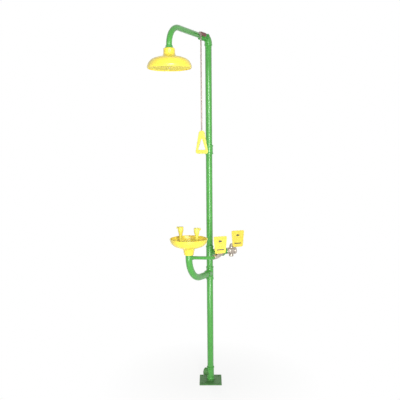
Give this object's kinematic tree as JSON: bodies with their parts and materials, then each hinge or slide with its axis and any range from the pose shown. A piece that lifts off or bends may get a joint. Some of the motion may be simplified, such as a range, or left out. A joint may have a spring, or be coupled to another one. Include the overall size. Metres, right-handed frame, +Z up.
{
  "type": "emergency shower and eyewash station",
  "caption": "Floor-standing drench shower with overhead rose and pull handle, joined on one post to an eyewash bowl with hinged nozzle caps and push plates.",
  "frame": {"origin": "middle of the base plate's underside, on the post's axis", "axes": "+Z up along the post; the shower arm and the eyewash bowl reach towards -Y, where the user stands; the supply line leaves the post between +X and +Y"},
  "size_m": [0.3101, 0.7675, 2.313],
  "materials": {
    "green": "semi-gloss green powder coat",
    "fitting_green": "green powder coat over cast texture",
    "base_green": "dull dark green paint",
    "stainless": "brushed stainless",
    "ball_chrome": "polished",
    "steel_inner": "plain steel",
    "maroon_sleeve": "soft maroon vinyl",
    "plate_yellow": "yellow paint",
    "yellow": "yellow ABS",
    "white_seat": "white PTFE",
    "grey_plastic": "grey plastic",
    "black_rubber": "black rubber"
  },
  "bodies": {
    "frame": {"base_plate": "base_green", "base_nipple": "green", "bottom_tee": "green", "lower_post": "green", "drain_tee": "green", "mid_nipple": "green", "blanking_plug": "steel_inner", "supply_tee": "fitting_green", "middle_post": "green", "post_coupling": "green", "upper_post": "green", "top_elbow": "green", "drain_pipe": "green", "supply_nipples": "green", "reducing_tee": "green", "eyewash_elbow": "green", "eyewash_nipple": "stainless", "eyewash_pipe": "green", "shower_valve_body": "fitting_green", "shower_valve_end": "fitting_green", "supply_valve_body": "stainless", "supply_valve_end": "stainless", "eyewash_valve_body": "stainless", "eyewash_valve_end": "stainless", "seat_rings": "white_seat", "gland_nuts": "stainless", "shower_arm": "green", "arm_ferrule": "fitting_green", "head_shell": "yellow", "rose_plate": "yellow", "head_deflector": "grey_plastic", "rose_screw": "stainless", "bowl": "yellow", "neck_gasket": "black_rubber", "bowl_strainer": "stainless", "nozzle_riser": "steel_inner", "nozzle_manifold": "yellow", "nozzle_left": "yellow", "nozzle_right": "yellow", "spray_discs": "grey_plastic"},
    "shower_lever_body": {"shower_ball": "ball_chrome", "shower_stem": "stainless", "shower_lever": "stainless", "shower_lever_nut": "fitting_green", "lever_sleeve": "maroon_sleeve"},
    "pull_rod_body": {"pull_rod": "stainless", "pull_handle": "yellow"},
    "supply_lever_body": {"supply_ball": "ball_chrome", "supply_stem": "stainless", "supply_lever": "stainless", "supply_lever_nut": "stainless", "supply_plate": "plate_yellow"},
    "eyewash_lever_body": {"eyewash_ball": "ball_chrome", "eyewash_stem": "stainless", "eyewash_lever": "stainless", "eyewash_lever_nut": "stainless", "eyewash_plate": "plate_yellow"},
    "dust_cap_left_body": {"dust_cap_left": "yellow"},
    "dust_cap_right_body": {"dust_cap_right": "yellow"}
  },
  "joints": [
    {"name": "shower_valve_turn", "type": "hinge", "parent": "frame", "child": "shower_lever_body", "pos_m": [0.0395, -0.078, 2.289], "axis": [1, 0, 0], "range_deg": [0, 90]},
    {"name": "pull_rod_swing", "type": "hinge", "parent": "shower_lever_body", "child": "pull_rod_body", "pos_m": [0.0395, -0.19, 2.289], "axis": [1, 0, 0], "range_deg": [-90, 0]},
    {"name": "supply_valve_turn", "type": "hinge", "parent": "frame", "child": "supply_lever_body", "pos_m": [0.10819, 0.10819, 0.898], "axis": [0, 0, 1], "range_deg": [0, 90]},
    {"name": "eyewash_valve_turn", "type": "hinge", "parent": "frame", "child": "eyewash_lever_body", "pos_m": [0.09829, -0.085, 0.898], "axis": [0, 0, 1], "range_deg": [0, 90]},
    {"name": "dust_cap_left_flip", "type": "hinge", "parent": "frame", "child": "dust_cap_left_body", "pos_m": [-0.079, -0.285, 1.1044], "axis": [0, -1, 0], "range_deg": [0, 110]},
    {"name": "dust_cap_right_flip", "type": "hinge", "parent": "frame", "child": "dust_cap_right_body", "pos_m": [0.079, -0.285, 1.1044], "axis": [0, 1, 0], "range_deg": [0, 110]}
  ],
  "couplings": [
    {"joint": "pull_rod_swing", "follows": "shower_valve_turn", "ratio": -1}
  ]
}
